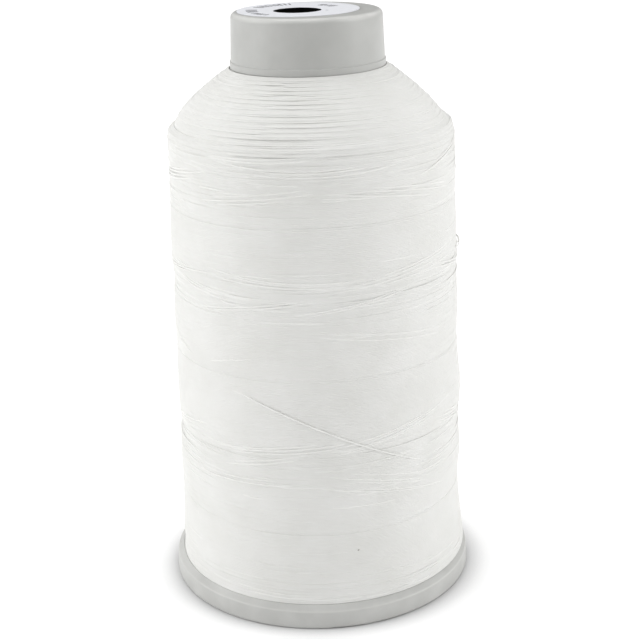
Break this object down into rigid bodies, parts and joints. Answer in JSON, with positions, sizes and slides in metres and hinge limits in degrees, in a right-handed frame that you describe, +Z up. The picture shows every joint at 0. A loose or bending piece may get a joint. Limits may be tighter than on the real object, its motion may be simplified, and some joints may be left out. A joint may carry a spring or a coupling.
{
  "type": "thread spool",
  "caption": "King spool of waxed thread: wound thread package on a hollow core tube, with a dished base flange, a rounded top cap and a round paper label.",
  "frame": {"origin": "centre of the base flange's underside, on the surface that the spool stands on", "axes": "+Z up along the core tube, from the base flange to the label; +X to the right and -Y towards the viewer of the spool's front"},
  "size_m": [0.0862, 0.0862, 0.161],
  "materials": {
    "core_plastic": "matte moulded plastic",
    "grey_plastic": "satin moulded plastic",
    "label_paper": "smooth coated paper",
    "white_thread": "waxed, close-wound white thread"
  },
  "bodies": {
    "root": {"core_tube": "core_plastic", "base_flange": "grey_plastic", "top_cap": "grey_plastic", "top_label": "label_paper", "thread_package": "white_thread"}
  },
  "joints": []
}
